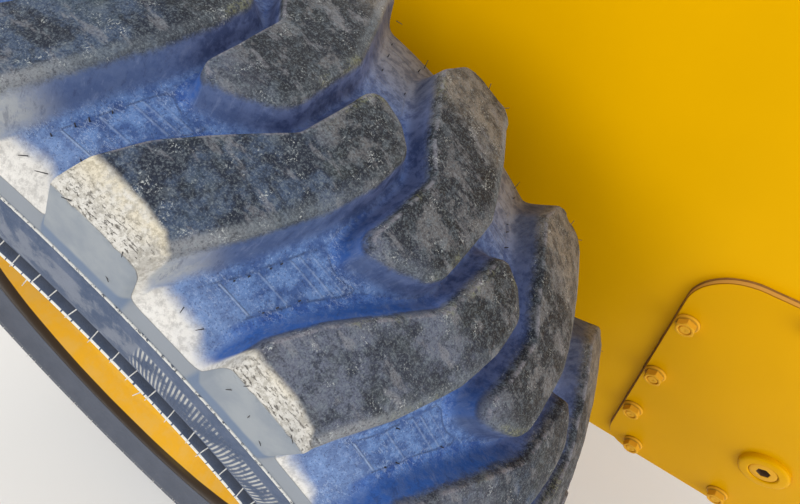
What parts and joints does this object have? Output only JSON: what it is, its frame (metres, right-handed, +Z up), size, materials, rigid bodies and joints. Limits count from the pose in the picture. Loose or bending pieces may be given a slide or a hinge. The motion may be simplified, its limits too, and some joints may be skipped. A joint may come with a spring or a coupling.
{
  "type": "skid steer loader drive wheel with axle and chain case section",
  "caption": "Lugged drive wheel of a skid steer loader on its axle, with the section of chain case that carries it and the bolted inspection cover beside it.",
  "frame": {"origin": "on the wheel's axis, on the inboard face of the chain case, where it bolts to the machine", "axes": "+Y inboard into the machine, +X along the chassis towards the inspection cover, +Z up"},
  "size_m": [1.1561, 0.559, 0.8361],
  "materials": {
    "chassis_paint": "amber yellow gloss paint",
    "sealant": "brown gasket sealant",
    "shaft_steel": "dark machined forging",
    "fastener_steel": "zinc plated",
    "wheel_paint": "yellow gloss paint",
    "tyre_rubber": "dusty black rubber"
  },
  "bodies": {
    "chassis": {"side_plate": "chassis_paint", "inner_wall": "chassis_paint", "case_floor": "chassis_paint", "case_front": "chassis_paint", "case_top": "chassis_paint", "case_rear": "chassis_paint", "case_slope": "chassis_paint", "top_flange": "chassis_paint", "inspection_cover": "chassis_paint", "cover_nuts": "chassis_paint", "oil_plug": "chassis_paint", "axle_housing": "chassis_paint", "housing_flange": "chassis_paint", "housing_gussets": "chassis_paint", "housing_bolts": "chassis_paint", "cover_sealant": "sealant"},
    "wheel": {"axle_shaft": "shaft_steel", "wheel_nuts": "fastener_steel", "wheel_disc": "wheel_paint", "rim_barrel": "wheel_paint", "tyre": "tyre_rubber"}
  },
  "joints": [
    {"name": "wheel_spin", "type": "hinge", "parent": "chassis", "child": "wheel", "pos_m": [0, -0.404, 0], "axis": [0, 1, 0], "continuous": true}
  ]
}
